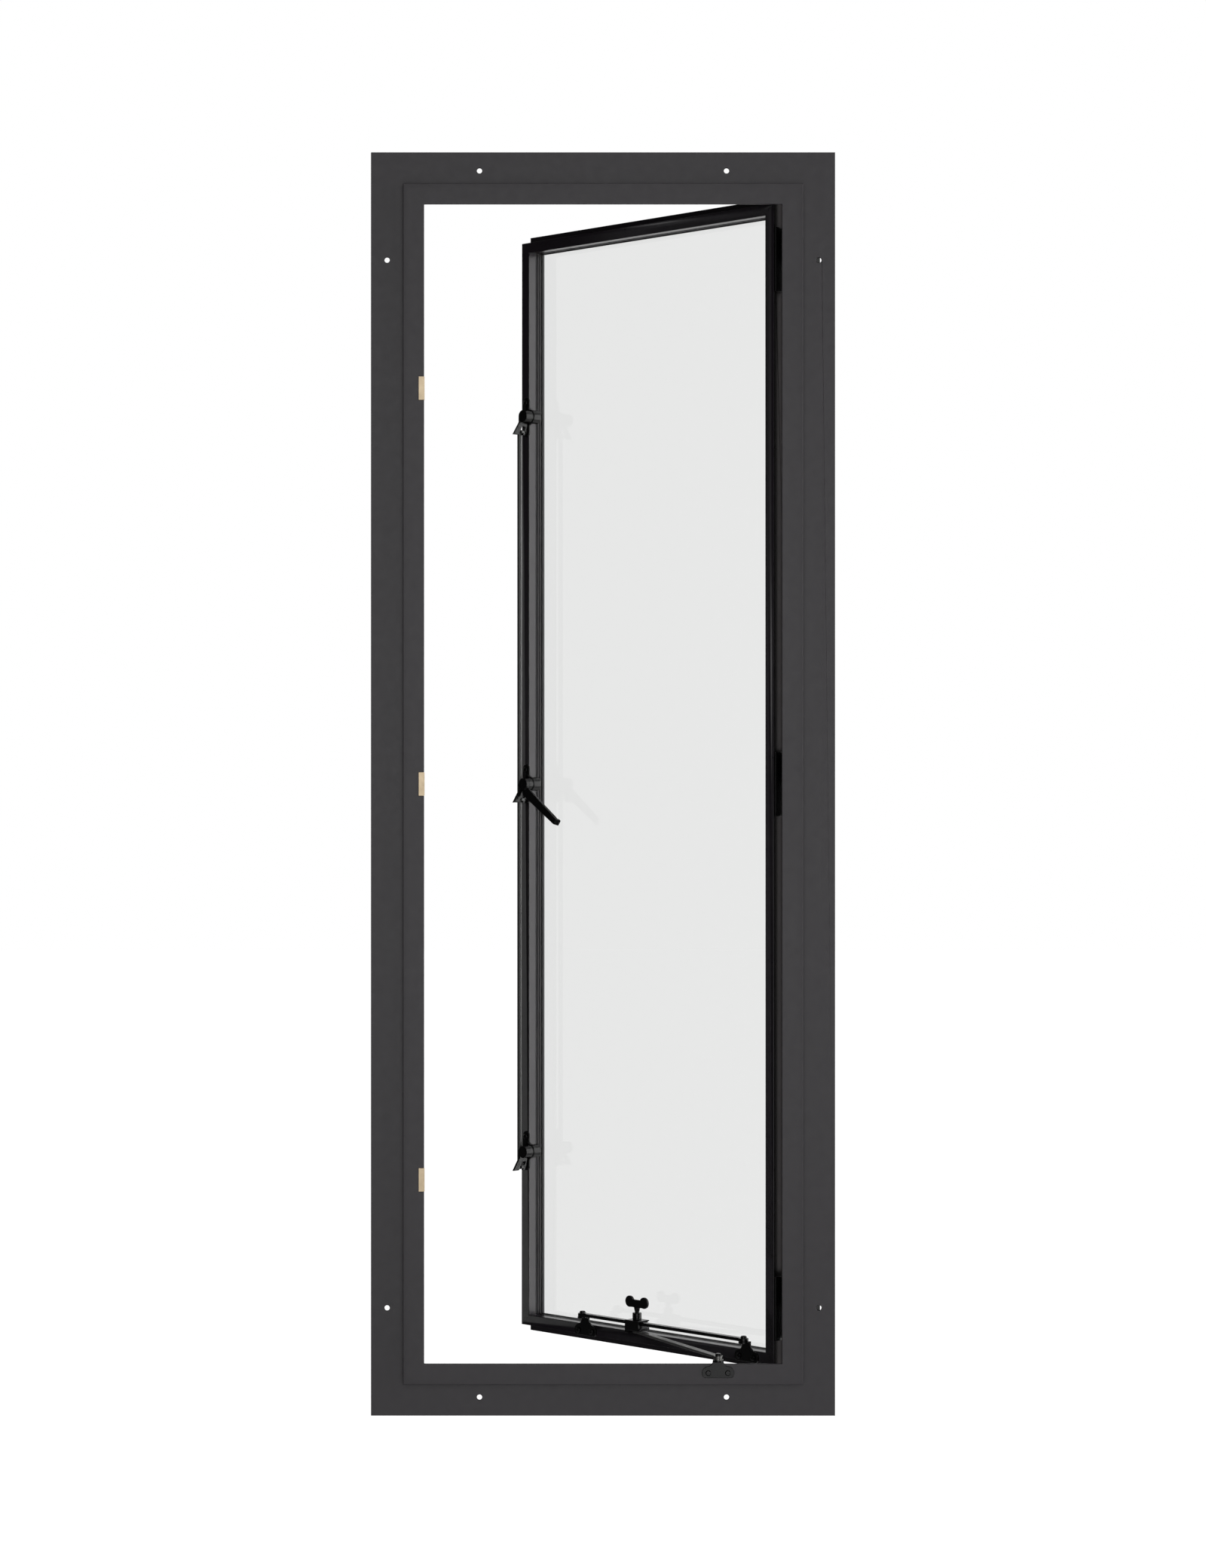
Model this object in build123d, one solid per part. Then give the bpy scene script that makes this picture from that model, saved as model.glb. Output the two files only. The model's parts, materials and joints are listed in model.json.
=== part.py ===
from build123d import *
import math
import os

# Steel casement window in millimetres: a welded frame with a fixing fin, and an outward opening
# sash with its hinges, three point lock and sliding friction stay.
# X runs across the window, Y points outdoors, Z points up.
# The origin is the middle of the sill fin, on the face of the fin that bears on the wall.

# Sheet and bar thickness of the rolled steel sections
STEEL = 3.2
TUBE_WALL = 1.6

# Frame
FRAME_WIDTH = 560.0
FRAME_HEIGHT = 1524.0
FIN_WIDTH = 39.4
FIN_THICK = 3.2
FACE_WIDTH = 25.4
FACE_PROUD = 12.7
FACE_BEVEL_WIDTH = 6.4
FACE_BEVEL_DROP = 0.4
WEB_SETBACK = 9.0
REBATE_DEPTH = 17.6
OUTER_LEG_REACH = 7.5
CAVITY_WALL = 3.2

# Fixing holes in the fin
HOLE_DIAMETER = 6.4
JAMB_HOLE_EDGE = 19.5
JAMB_HOLE_SPACING = 1264.0
HEAD_HOLE_EDGE = 22.3
HEAD_HOLE_SPACING = 298.0

# Sash
SASH_OPEN_DEG = 45.0
SASH_OVERLAP = 5.3
SASH_GAP = 0.8
SASH_FACE = 13.0
SASH_TUBE_DEPTH = 12.0
SASH_DEPTH = 30.0
SASH_FLANGE_REACH = 12.0

# Glass, its bedding tape and its beads
GLASS_THICK = 3.2
TAPE_THICK = 0.6
GLASS_EDGE_GAP = 2.3
BEAD_SETBACK = 0.6
BEAD_RIB = 0.8

# Hinges
HINGE_HEIGHT = 78.0
HINGE_END_MARGIN = 62.2
KNUCKLE_DIAMETER = 11.0
HINGE_PIN_DIAMETER = 5.0
HINGE_PLATE = 2.5
HINGE_AXIS_OUT = 23.3
HINGE_AXIS_DEPTH = 18.8
KNUCKLE_GAP = 0.3
PIN_CLEARANCE = 0.05
FRAME_LEAF_WIDTH = 18.0
PIN_HEAD_HEIGHT = 3.0
PIN_HEAD_DIAMETER = 9.0
SASH_ARM_GAP = 0.5
LEAF_NOTCH = 1.0

# Three point lock
LOCK_OFFSET = 476.0
LOCK_BASE_HEIGHT = 51.0
LOCK_BASE_WIDTH = 12.0
LOCK_BASE_THICK = 2.5
LOCK_BASE_INSET = 4.0
BARREL_DIAMETER = 17.5
BARREL_INSET = 19.5
BARREL_FRONT = 5.0
BARREL_BACK = 8.0
HUB_DIAMETER = 15.5
SHOULDER_REACH = 15.0
HUB_FRONT = 17.5
HUB_SPLIT = 12.0

# Cam forks under the hubs and the tie bar that joins them
CAM_THICK = 3.0
CAM_INSET = 13.2
CAM_TOP = 7.6
CAM_BOTTOM = 24.0
CAM_TOP_FRONT = 17.5
CAM_TOP_BACK = 3.2
CAM_LEAN = 11.0
CAM_BACK_LEAN = 5.5
CAM_SLOT_WIDTH = 6.6
CAM_SLOT_TOP = 13.0
CAM_SLOT_DEPTH = 12.9
CAM_SLOT_LEAN = 5.5
TIE_BAR_DIAMETER = 5.0
TIE_BAR_INSET = 9.0
TIE_BAR_DEPTH = 13.0
TIE_LUG = 3.4
TIE_LUG_DROP = 20.0
TIE_BAR_OVERRUN = 3.0

# Handle
HANDLE_LENGTH = 75.0
HANDLE_UPPER_EDGE = 0.4
HANDLE_HEEL_AT = 7.0
HANDLE_HEEL_EDGE = -12.4
HANDLE_BELLY_AT = 24.0
HANDLE_BELLY_EDGE = -11.9
HANDLE_TIP_EDGE = -8.4
HANDLE_THICK = 3.5
HANDLE_DROP_DEG = 37.0
HANDLE_TIP_LENGTH = 3.2
HANDLE_TIP_BEND = 7.0

# Brass strikes let into the lock side jamb
STRIKE_HEIGHT = 28.0
STRIKE_WIDTH = 6.4
STRIKE_PROUD = 0.5

# Friction stay
STAY_BAR_WIDTH = 8.2
STAY_BAR_HEIGHT = 4.1
STAY_BAR_PROUD = 6.8
STAY_BAR_START = 42.9
STAY_BAR_END = 321.8
STAY_BAR_ABOVE_RAIL = 11.1
STAY_BAR_EYE_DIAMETER = 11.8
STAY_ARM_LENGTH = 213.4
STAY_ARM_WIDTH = 9.0
STAY_ARM_THICK = 3.0
STAY_ARM_ABOVE_RAIL = 0.4
STAY_ARM_EYE_DIAMETER = 11.0
STAY_PIN_DIAMETER = 5.0
STAY_PIVOT_X = 138.4
STAY_PIVOT_PROUD = 7.8
STAY_SPACER_DIAMETER = 10.0
STAY_SPACER_HEIGHT = 2.2
BRACKET_SCREW_SPACING = 23.5
BRACKET_LOBE = 7.7
BRACKET_FOOT = 6.0
BRACKET_NECK_WIDTH = 12.7
BRACKET_THICK = 2.5
BRACKET_SHELF = 2.5
BRACKET_SWEEP = 0.3
SASH_SCREW_ABOVE_EDGE = 5.0
SILL_SCREW_BELOW_OPENING = 10.8
SLIDER_LENGTH = 24.0
SLIDER_HEIGHT = 16.3
SLIDER_FRONT_WALL = 2.8
SLIDER_DEPTH = 20.4
SLIDER_CLEARANCE = 0.3

# Thumbscrew of the stay
COLLAR_DIAMETER = 11.5
COLLAR_HEIGHT = 9.0
STEM_TOP_DIAMETER = 8.0
STEM_FOOT_DIAMETER = 5.2
WING_LOBE_DIAMETER = 14.2
WING_LOBE_SPACING = 25.0
WING_WAIST = 9.7
WING_WAIST_DROP = 1.9
WING_THICK = 3.4
WING_ABOVE_COLLAR = 13.0

# Sizes worked out from the ones above
HALF_OPEN_X = FRAME_WIDTH / 2 - FIN_WIDTH - FACE_WIDTH
HALF_OPEN_Z = FRAME_HEIGHT / 2 - FIN_WIDTH - FACE_WIDTH
CENTRE_Z = FRAME_HEIGHT / 2 - FIN_WIDTH / 2
FACE_BACK = -FACE_PROUD + STEEL
SASH_HALF_X = HALF_OPEN_X + SASH_OVERLAP
SASH_HALF_Z = HALF_OPEN_Z + SASH_OVERLAP
SASH_FRONT = FACE_BACK + SASH_GAP
FLANGE_FRONT = SASH_FRONT + SASH_DEPTH - STEEL
HINGE_X = HALF_OPEN_X + HINGE_AXIS_OUT
HINGE_OFFSET = HALF_OPEN_Z - HINGE_END_MARGIN
HINGE_LEVELS = {"top": HINGE_OFFSET, "middle": 0.0, "bottom": -HINGE_OFFSET}
LOCK_LEVELS = {"top": LOCK_OFFSET, "middle": 0.0, "bottom": -LOCK_OFFSET}
FAR = 40.0

pieces = {}


def filled(points):
    """A flat face with straight sides."""
    return make_face(Polyline(*points, close=True))


def slab(x0, x1, y0, y1, z0, z1):
    """A rectangular block between two corners."""
    block = Box(abs(x1 - x0), abs(y1 - y0), abs(z1 - z0))
    return Pos((x0 + x1) / 2, (y0 + y1) / 2, (z0 + z1) / 2) * block


def upright(radius, x, y, z0, z1):
    """A vertical round bar."""
    return Pos(x, y, (z0 + z1) / 2) * Cylinder(radius, z1 - z0)


def along_y(radius, x, z, y0, y1):
    """A round bar that runs indoors to outdoors."""
    return Pos(x, (y0 + y1) / 2, z) * Rot(90, 0, 0) * Cylinder(radius, y1 - y0)


def along_x(radius, y, z, x0, x1):
    """A round bar that runs across the window."""
    return Pos((x0 + x1) / 2, y, z) * Rot(0, 90, 0) * Cylinder(radius, x1 - x0)


def mitred_bar(section, reach, half_length):
    """One upright bar right of the centre, with 45 degree ends.

    The section's points are (outward from the reach, Y).
    """
    bar = extrude(Pos(reach, 0) * section, amount=half_length + reach, both=True)
    low = -FAR
    high = FAR + FIN_WIDTH
    mitre = Plane.XZ * filled([
        (reach + low, -half_length - low),
        (reach + high, -half_length - high),
        (reach + high, half_length + high),
        (reach + low, half_length + low),
    ])
    return bar & extrude(mitre, amount=FAR * 2, both=True)


def four_bars(section, half_x, half_z):
    """The two uprights and the two crosspieces of one rectangular frame, about its centre."""
    upright_bar = mitred_bar(section, half_x, half_z)
    cross_bar = mitred_bar(section, half_z, half_x)
    return {
        "hinge": upright_bar,
        "lock": Rot(0, 180, 0) * upright_bar,
        "top": Rot(0, -90, 0) * cross_bar,
        "bottom": Rot(0, 90, 0) * cross_bar,
    }


def at_centre(shape):
    """Lifts a piece that is drawn about the window's centre."""
    return Pos(0, 0, CENTRE_Z) * shape


def swing(shape):
    """Turns a piece of the closed sash about the hinge axis to the open angle."""
    turn = Pos(HINGE_X, HINGE_AXIS_DEPTH, 0) * Rot(0, 0, -SASH_OPEN_DEG)
    return at_centre(turn * Pos(-HINGE_X, -HINGE_AXIS_DEPTH, 0) * shape)


def make_frame():
    """Four mitred bars: face, tubular outer edge, rebate and fixing fin in one section."""
    web_back = WEB_SETBACK + STEEL
    outline = filled([
        (0, -FACE_PROUD),
        (FACE_WIDTH - FACE_BEVEL_WIDTH, -FACE_PROUD),
        (FACE_WIDTH, -FACE_PROUD + FACE_BEVEL_DROP),
        (FACE_WIDTH, 0),
        (FACE_WIDTH + FIN_WIDTH, 0),
        (FACE_WIDTH + FIN_WIDTH, FIN_THICK),
        (web_back, FIN_THICK),
        (web_back, REBATE_DEPTH - STEEL),
        (WEB_SETBACK + OUTER_LEG_REACH, REBATE_DEPTH - STEEL),
        (WEB_SETBACK + OUTER_LEG_REACH, REBATE_DEPTH),
        (WEB_SETBACK, REBATE_DEPTH),
        (WEB_SETBACK, FACE_BACK),
        (0, FACE_BACK),
    ])
    cavity = filled([
        (web_back, FACE_BACK),
        (FACE_WIDTH - CAVITY_WALL, FACE_BACK),
        (FACE_WIDTH - CAVITY_WALL, 0),
        (web_back, 0),
    ])
    bars = four_bars(outline - cavity, HALF_OPEN_X, HALF_OPEN_Z)
    hole_x = FRAME_WIDTH / 2 - JAMB_HOLE_EDGE
    hole_z = FRAME_HEIGHT / 2 - HEAD_HOLE_EDGE
    radius = HOLE_DIAMETER / 2
    for side in (-1, 1):
        jamb_z = side * JAMB_HOLE_SPACING / 2
        head_x = side * HEAD_HOLE_SPACING / 2
        bars["hinge"] -= along_y(radius, hole_x, jamb_z, -FIN_THICK, 2 * FIN_THICK)
        bars["lock"] -= along_y(radius, -hole_x, jamb_z, -FIN_THICK, 2 * FIN_THICK)
        bars["top"] -= along_y(radius, head_x, hole_z, -FIN_THICK, 2 * FIN_THICK)
        bars["bottom"] -= along_y(radius, head_x, -hole_z, -FIN_THICK, 2 * FIN_THICK)
    for level in LOCK_LEVELS.values():
        bars["lock"] -= slab(
            -HALF_OPEN_X - STRIKE_WIDTH, -HALF_OPEN_X + 1,
            -FACE_PROUD - 1, FACE_BACK + 1,
            level - STRIKE_HEIGHT / 2, level + STRIKE_HEIGHT / 2,
        )
    pieces["frame_head"] = at_centre(bars["top"])
    pieces["frame_sill"] = at_centre(bars["bottom"])
    pieces["frame_lock_jamb"] = at_centre(bars["lock"])
    pieces["frame_hinge_jamb"] = at_centre(bars["hinge"])


def make_strikes():
    """Brass wear plates in notches of the lock side jamb, each with a tab behind the face."""
    for name, level in LOCK_LEVELS.items():
        low = level - STRIKE_HEIGHT / 2
        high = level + STRIKE_HEIGHT / 2
        plate = slab(
            -HALF_OPEN_X - STRIKE_WIDTH, -HALF_OPEN_X + STRIKE_PROUD,
            -FACE_PROUD - STRIKE_PROUD, FACE_BACK, low, high,
        )
        tab = slab(
            -HALF_OPEN_X - WEB_SETBACK, -HALF_OPEN_X - SASH_OVERLAP - STRIKE_PROUD,
            FACE_BACK, FACE_BACK + TUBE_WALL, low, high,
        )
        pieces[f"strike_{name}"] = at_centre(plate + tab)


def make_sash():
    """Four mitred bars, a tube indoors and a flange outdoors, joined by one web."""
    inner = -SASH_FACE
    tube_back = SASH_FRONT + SASH_TUBE_DEPTH
    sash_back = SASH_FRONT + SASH_DEPTH
    outline = filled([
        (0, SASH_FRONT),
        (0, FLANGE_FRONT),
        (SASH_FLANGE_REACH, FLANGE_FRONT),
        (SASH_FLANGE_REACH, sash_back),
        (inner, sash_back),
        (inner, FLANGE_FRONT),
        (-STEEL, FLANGE_FRONT),
        (-STEEL, tube_back),
        (inner, tube_back),
        (inner, SASH_FRONT),
    ])
    cavity = filled([
        (-TUBE_WALL, SASH_FRONT + TUBE_WALL),
        (inner + TUBE_WALL, SASH_FRONT + TUBE_WALL),
        (inner + TUBE_WALL, tube_back - TUBE_WALL),
        (-TUBE_WALL, tube_back - TUBE_WALL),
    ])
    bars = four_bars(outline - cavity, SASH_HALF_X, SASH_HALF_Z)
    for level in HINGE_LEVELS.values():
        bars["hinge"] -= slab(
            SASH_HALF_X, SASH_HALF_X + SASH_FLANGE_REACH + 1,
            FLANGE_FRONT - 1, sash_back + 1,
            level - HINGE_HEIGHT / 2 - LEAF_NOTCH, level + HINGE_HEIGHT / 2 + LEAF_NOTCH,
        )
    pieces["sash_top_rail"] = swing(bars["top"])
    pieces["sash_bottom_rail"] = swing(bars["bottom"])
    pieces["sash_lock_stile"] = swing(bars["lock"])
    pieces["sash_hinge_stile"] = swing(bars["hinge"])


def make_glazing():
    """The pane on its tape against the outer flange, held by four ribbed beads indoors."""
    tape_front = FLANGE_FRONT - TAPE_THICK
    glass_front = tape_front - GLASS_THICK
    tube_back = SASH_FRONT + SASH_TUBE_DEPTH
    glass_x = SASH_HALF_X - STEEL - GLASS_EDGE_GAP
    glass_z = SASH_HALF_Z - STEEL - GLASS_EDGE_GAP
    sight_x = SASH_HALF_X - SASH_FACE
    sight_z = SASH_HALF_Z - SASH_FACE
    pieces["glass_pane"] = swing(slab(-glass_x, glass_x, glass_front, tape_front, -glass_z, glass_z))
    tape = slab(-glass_x, glass_x, tape_front, FLANGE_FRONT, -glass_z, glass_z)
    tape -= slab(-sight_x, sight_x, tape_front - 1, FLANGE_FRONT + 1, -sight_z, sight_z)
    pieces["glazing_tape"] = swing(tape)

    face = -SASH_FACE + BEAD_SETBACK
    depth = glass_front - tube_back
    rib = depth / 5
    bead = filled([
        (-STEEL, tube_back),
        (face, tube_back),
        (face, tube_back + rib),
        (face + BEAD_RIB, tube_back + rib),
        (face + BEAD_RIB, tube_back + 2 * rib),
        (face, tube_back + 2 * rib),
        (face, tube_back + 3 * rib),
        (face + BEAD_RIB, tube_back + 3 * rib),
        (face + BEAD_RIB, tube_back + 4 * rib),
        (face, tube_back + 4 * rib),
        (face, glass_front),
        (-STEEL, glass_front),
    ])
    bars = four_bars(bead, SASH_HALF_X, SASH_HALF_Z)
    for side in ("top", "bottom", "lock", "hinge"):
        pieces[f"bead_{side}"] = swing(bars[side])


def make_hinges():
    """Lift-off hinges: a leaf welded behind the fin, a leaf on the sash above it, a headed pin."""
    radius = KNUCKLE_DIAMETER / 2
    bore = HINGE_PIN_DIAMETER / 2 + PIN_CLEARANCE
    leaf_x = HINGE_X + radius - HINGE_PLATE
    arm_front = FLANGE_FRONT + SASH_ARM_GAP
    for name, level in HINGE_LEVELS.items():
        low = level - HINGE_HEIGHT / 2
        high = level + HINGE_HEIGHT / 2
        hole = upright(bore, HINGE_X, HINGE_AXIS_DEPTH, low - 1, high + 1)

        leaf = filled([
            (leaf_x, FIN_THICK),
            (leaf_x + HINGE_PLATE + FRAME_LEAF_WIDTH, FIN_THICK),
            (leaf_x + HINGE_PLATE + FRAME_LEAF_WIDTH, FIN_THICK + HINGE_PLATE),
            (leaf_x + HINGE_PLATE, FIN_THICK + HINGE_PLATE),
            (leaf_x + HINGE_PLATE, HINGE_AXIS_DEPTH),
            (leaf_x, HINGE_AXIS_DEPTH),
        ])
        frame_leaf = Pos(0, 0, low) * extrude(leaf, amount=HINGE_HEIGHT)
        frame_leaf += upright(radius, HINGE_X, HINGE_AXIS_DEPTH, low, level)
        frame_leaf -= upright(radius + KNUCKLE_GAP, HINGE_X, HINGE_AXIS_DEPTH, level, high + 1)
        pieces[f"hinge_frame_leaf_{name}"] = at_centre(frame_leaf - hole)

        plate = slab(
            SASH_HALF_X, SASH_HALF_X + HINGE_PLATE,
            SASH_FRONT + LEAF_NOTCH, arm_front + HINGE_PLATE, low, high,
        )
        knuckle_low = level + KNUCKLE_GAP
        arm = slab(
            SASH_HALF_X, HINGE_X, arm_front, arm_front + HINGE_PLATE, knuckle_low, high
        )
        knuckle = upright(radius, HINGE_X, HINGE_AXIS_DEPTH, knuckle_low, high)
        pieces[f"hinge_sash_leaf_{name}"] = swing(plate + arm + knuckle - hole)

        pin = upright(HINGE_PIN_DIAMETER / 2, HINGE_X, HINGE_AXIS_DEPTH, low, high)
        pin += upright(PIN_HEAD_DIAMETER / 2, HINGE_X, HINGE_AXIS_DEPTH, high, high + PIN_HEAD_HEIGHT)
        pieces[f"hinge_pin_{name}"] = at_centre(pin)


def lock_x(inset):
    """X of a point on the lock stile of the closed sash, from its outer edge."""
    return -SASH_HALF_X + inset


def lock_housing():
    """The fixed half of a lock: a screwed base that widens into a barrel, about z = 0."""
    axis_x = lock_x(BARREL_INSET)
    base_x = lock_x(LOCK_BASE_INSET + LOCK_BASE_WIDTH / 2)
    half = (LOCK_BASE_HEIGHT - LOCK_BASE_WIDTH) / 2
    front = SASH_FRONT - LOCK_BASE_THICK
    radius = BARREL_DIAMETER / 2
    base = slab(
        base_x - LOCK_BASE_WIDTH / 2, base_x + LOCK_BASE_WIDTH / 2, front, SASH_FRONT, -half, half
    )
    for end in (-half, half):
        base += along_y(LOCK_BASE_WIDTH / 2, base_x, end, front, SASH_FRONT)
    for side, thick in ((-1, LOCK_BASE_THICK), (1, BARREL_FRONT)):
        shoulder = Plane.XZ * filled([
            (base_x, 0), (axis_x, 0), (axis_x, side * radius), (base_x, side * SHOULDER_REACH)
        ])
        base += Pos(0, SASH_FRONT, 0) * extrude(shoulder, amount=thick, dir=(0, -1, 0))
    barrel = along_y(radius, axis_x, 0, SASH_FRONT - BARREL_FRONT, SASH_FRONT + BARREL_BACK)
    stile = slab(
        lock_x(-FAR), lock_x(SASH_FACE), SASH_FRONT, SASH_FRONT + FAR,
        -LOCK_BASE_HEIGHT, LOCK_BASE_HEIGHT,
    )
    return base + barrel - stile


def hub(front, back):
    """A stretch of the turning hub, between two distances indoors of the stile."""
    return along_y(HUB_DIAMETER / 2, lock_x(BARREL_INSET), 0, SASH_FRONT - front, SASH_FRONT - back)


def cam_fork():
    """A flat fork in the YZ plane that leans indoors as it drops, open at its lower end."""
    plate = filled([
        (-BARREL_FRONT, 0),
        (-CAM_TOP_FRONT, 0),
        (-CAM_TOP_FRONT, -CAM_TOP),
        (-CAM_TOP_FRONT - CAM_LEAN, -CAM_BOTTOM),
        (-CAM_TOP_BACK - CAM_BACK_LEAN, -CAM_BOTTOM),
        (-CAM_TOP_BACK, -CAM_TOP),
        (-BARREL_FRONT, -CAM_TOP),
    ])
    half = CAM_SLOT_WIDTH / 2
    near = CAM_SLOT_DEPTH - CAM_SLOT_LEAN / 2
    far = CAM_SLOT_DEPTH + CAM_SLOT_LEAN / 2
    plate -= filled([
        (-near - half, -CAM_SLOT_TOP),
        (-near + half, -CAM_SLOT_TOP),
        (-far + half, -CAM_BOTTOM),
        (-far - half, -CAM_BOTTOM),
    ])
    fork = extrude(Plane.YZ * plate, amount=CAM_THICK / 2, both=True)
    return Pos(lock_x(CAM_INSET), SASH_FRONT, 0) * fork


def make_locks():
    """Three lock units on the lock stile and the bar that ties their forks together."""
    tie_x = lock_x(TIE_BAR_INSET)
    tie_y = SASH_FRONT - TIE_BAR_DEPTH
    far_side = lock_x(CAM_INSET) + CAM_THICK / 2
    low = -LOCK_OFFSET - TIE_LUG_DROP - TIE_BAR_OVERRUN
    high = LOCK_OFFSET - TIE_LUG_DROP + TIE_BAR_OVERRUN
    tie_bar = upright(TIE_BAR_DIAMETER / 2, tie_x, tie_y, low, high)
    for name, level in LOCK_LEVELS.items():
        pieces[f"lock_housing_{name}"] = swing(Pos(0, 0, level) * lock_housing())
        hub_front = HUB_SPLIT if name == "middle" else HUB_FRONT
        cam = hub(hub_front, BARREL_FRONT) + cam_fork()
        if name == "middle":
            cam -= hub(HUB_FRONT + 1, HUB_SPLIT)
        pieces[f"lock_cam_{name}"] = swing(Pos(0, 0, level) * cam)
        lug_z = level - TIE_LUG_DROP
        tie_bar += slab(
            tie_x, far_side, tie_y - TIE_LUG / 2, tie_y + TIE_LUG / 2,
            lug_z - TIE_LUG / 2, lug_z + TIE_LUG / 2,
        )
    pieces["lock_tie_bar"] = swing(tie_bar)


def make_handle():
    """A lever with a deep heel, on the front of the middle hub, and a tip bent outdoors."""
    lever = Circle(HUB_DIAMETER / 2) + filled([
        (0, HANDLE_UPPER_EDGE),
        (HANDLE_LENGTH, -HANDLE_UPPER_EDGE),
        (HANDLE_LENGTH, HANDLE_TIP_EDGE),
        (HANDLE_BELLY_AT, HANDLE_BELLY_EDGE),
        (HANDLE_HEEL_AT, HANDLE_HEEL_EDGE),
        (0, -HUB_DIAMETER / 2),
    ])
    blade = extrude(Plane.XZ * lever, amount=HANDLE_THICK)
    bend_x = HANDLE_LENGTH - HANDLE_THICK
    tip = filled([
        (bend_x, -HANDLE_THICK),
        (HANDLE_LENGTH, -HANDLE_THICK),
        (HANDLE_LENGTH + HANDLE_TIP_LENGTH, HANDLE_TIP_BEND - HANDLE_THICK),
        (HANDLE_LENGTH + HANDLE_TIP_LENGTH - HANDLE_THICK, HANDLE_TIP_BEND - HANDLE_THICK),
        (bend_x, 0),
    ])
    middle = (HANDLE_TIP_EDGE - HANDLE_UPPER_EDGE) / 2
    width = -HANDLE_UPPER_EDGE - HANDLE_TIP_EDGE
    blade += Pos(0, 0, middle) * extrude(tip, amount=width / 2, both=True)
    turned = Rot(0, HANDLE_DROP_DEG, 0) * blade
    placed = Pos(lock_x(BARREL_INSET), SASH_FRONT - HUB_SPLIT, 0) * turned
    pieces["lock_handle"] = swing(placed + hub(HUB_FRONT, HUB_SPLIT))


def bracket_plate(neck_height):
    """A screwed foot with two round lobes that sweeps up into a neck, in the XZ plane."""
    lobe_x = BRACKET_SCREW_SPACING / 2
    neck = BRACKET_NECK_WIDTH / 2
    foot_x = lobe_x + math.sqrt(BRACKET_LOBE ** 2 - BRACKET_FOOT ** 2)
    sweep_x = neck + BRACKET_SWEEP * (lobe_x - neck)
    sweep_z = BRACKET_LOBE + BRACKET_SWEEP * (neck_height - BRACKET_LOBE)
    outline = [
        Line((neck, neck_height), (-neck, neck_height)),
        ThreePointArc((-neck, neck_height), (-sweep_x, sweep_z), (-lobe_x, BRACKET_LOBE)),
        ThreePointArc(
            (-lobe_x, BRACKET_LOBE), (-lobe_x - BRACKET_LOBE, 0), (-foot_x, -BRACKET_FOOT)
        ),
        Line((-foot_x, -BRACKET_FOOT), (foot_x, -BRACKET_FOOT)),
        ThreePointArc(
            (foot_x, -BRACKET_FOOT), (lobe_x + BRACKET_LOBE, 0), (lobe_x, BRACKET_LOBE)
        ),
        ThreePointArc((lobe_x, BRACKET_LOBE), (sweep_x, sweep_z), (neck, neck_height)),
    ]
    return extrude(Plane.XZ * make_face(Curve() + outline), amount=BRACKET_THICK)


def stay_bracket(neck_height, proud):
    """A bracket seated at y = 0, screws at z = 0, with a rounded shelf at the top of its neck."""
    neck = BRACKET_NECK_WIDTH / 2
    shelf_low = neck_height - BRACKET_SHELF
    shelf = slab(-neck, neck, -proud, 0, shelf_low, neck_height)
    shelf += upright(neck, 0, -proud, shelf_low, neck_height)
    shelf &= slab(-FAR, FAR, -FAR, 0, shelf_low, neck_height)
    return bracket_plate(neck_height) + shelf


def slider_middle():
    """Distance of the slider's middle in front of the sash."""
    return STAY_BAR_PROUD + STAY_BAR_WIDTH / 2 + SLIDER_CLEARANCE + SLIDER_FRONT_WALL - SLIDER_DEPTH / 2


def slider_inset():
    """Distance of the slider from the hinge side edge of the sash, from the arm's length.

    The pivot on the sill is turned back about the hinge into the frame of the closed sash.
    """
    pivot_y = -FACE_PROUD - STAY_PIVOT_PROUD
    dx = STAY_PIVOT_X - HINGE_X
    dy = pivot_y - HINGE_AXIS_DEPTH
    turn = math.radians(SASH_OPEN_DEG)
    px = HINGE_X + dx * math.cos(turn) - dy * math.sin(turn)
    py = HINGE_AXIS_DEPTH + dx * math.sin(turn) + dy * math.cos(turn)
    across = math.sqrt(STAY_ARM_LENGTH ** 2 - (SASH_FRONT - slider_middle() - py) ** 2)
    return SASH_HALF_X - (px - across)


def swung_point(x, y):
    """Where a point of the closed sash goes when the sash is open."""
    turn = math.radians(-SASH_OPEN_DEG)
    dx = x - HINGE_X
    dy = y - HINGE_AXIS_DEPTH
    return (
        HINGE_X + dx * math.cos(turn) - dy * math.sin(turn),
        HINGE_AXIS_DEPTH + dx * math.sin(turn) + dy * math.cos(turn),
    )


def make_guide_bar(bar_y, bar_low):
    """The flat bar with round eyes on the bottom rail, and the two brackets that hold it."""
    bar_high = bar_low + STAY_BAR_HEIGHT
    eye_radius = STAY_BAR_EYE_DIAMETER / 2
    screw_z = -SASH_HALF_Z + SASH_SCREW_ABOVE_EDGE
    ends = {"hinge": SASH_HALF_X - STAY_BAR_START, "lock": SASH_HALF_X - STAY_BAR_END}
    bar = slab(
        ends["lock"], ends["hinge"],
        bar_y - STAY_BAR_WIDTH / 2, bar_y + STAY_BAR_WIDTH / 2, bar_low, bar_high,
    )
    for x in ends.values():
        bar += upright(eye_radius, x, bar_y, bar_low, bar_high)
    for name, x in ends.items():
        bar -= upright(STAY_PIN_DIAMETER / 2 + PIN_CLEARANCE, x, bar_y, bar_low - 1, bar_high + 1)
        bracket = Pos(x, SASH_FRONT, screw_z) * stay_bracket(bar_low - screw_z, STAY_BAR_PROUD)
        stud = upright(STAY_PIN_DIAMETER / 2, x, bar_y, bar_low, bar_high)
        pieces[f"stay_bracket_{name}_side"] = swing(bracket + stud)
    pieces["stay_guide_bar"] = swing(bar)


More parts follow.
